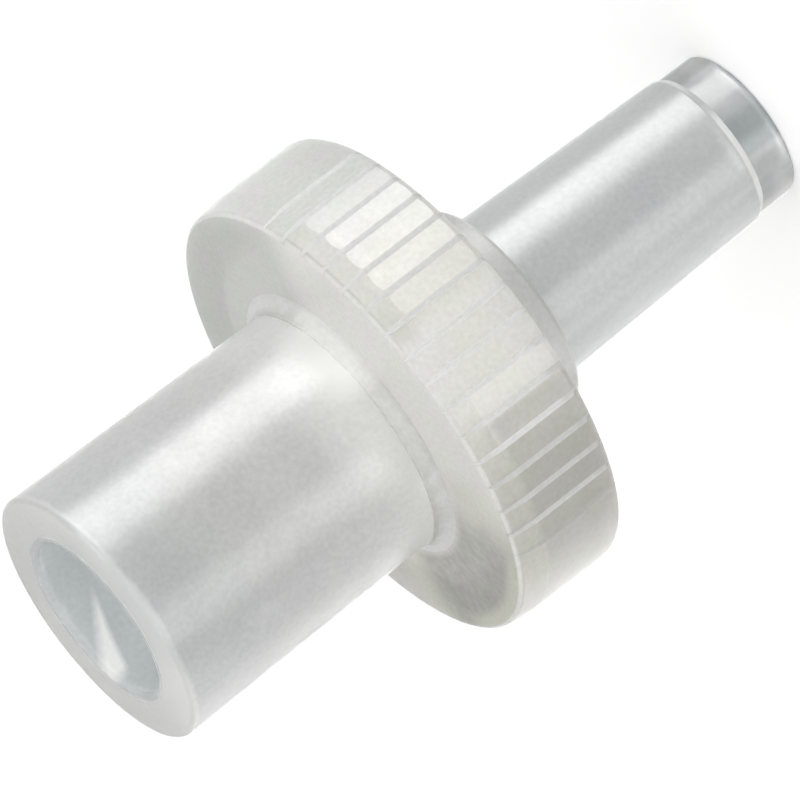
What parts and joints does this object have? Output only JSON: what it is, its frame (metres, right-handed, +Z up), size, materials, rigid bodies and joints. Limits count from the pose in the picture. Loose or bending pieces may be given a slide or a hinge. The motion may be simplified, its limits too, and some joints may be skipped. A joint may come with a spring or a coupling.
{
  "type": "syringe filter",
  "caption": "Small luer-slip syringe filter with a socket inlet, a tapered outlet tip and a grooved grip ring round a clamped membrane disc.",
  "frame": {"origin": "centre of the outlet tip's end face, on which the part stands", "axes": "+Z up the flow axis from the outlet tip to the inlet mouth, +X through the middle of one of the ring's two smooth stretches, in the plane where its mould parts"},
  "size_m": [0.012, 0.012, 0.0201],
  "materials": {
    "inlet_plastic": "translucent natural polypropylene, satin",
    "outlet_plastic": "translucent natural polypropylene, satin with a polished tip",
    "ring_plastic": "milky over-moulded polypropylene, satin",
    "membrane": "white microporous membrane, matt"
  },
  "bodies": {
    "root": {"inlet_housing": "inlet_plastic", "outlet_housing": "outlet_plastic", "sealing_ring": "ring_plastic", "filter_membrane": "membrane"}
  },
  "joints": []
}
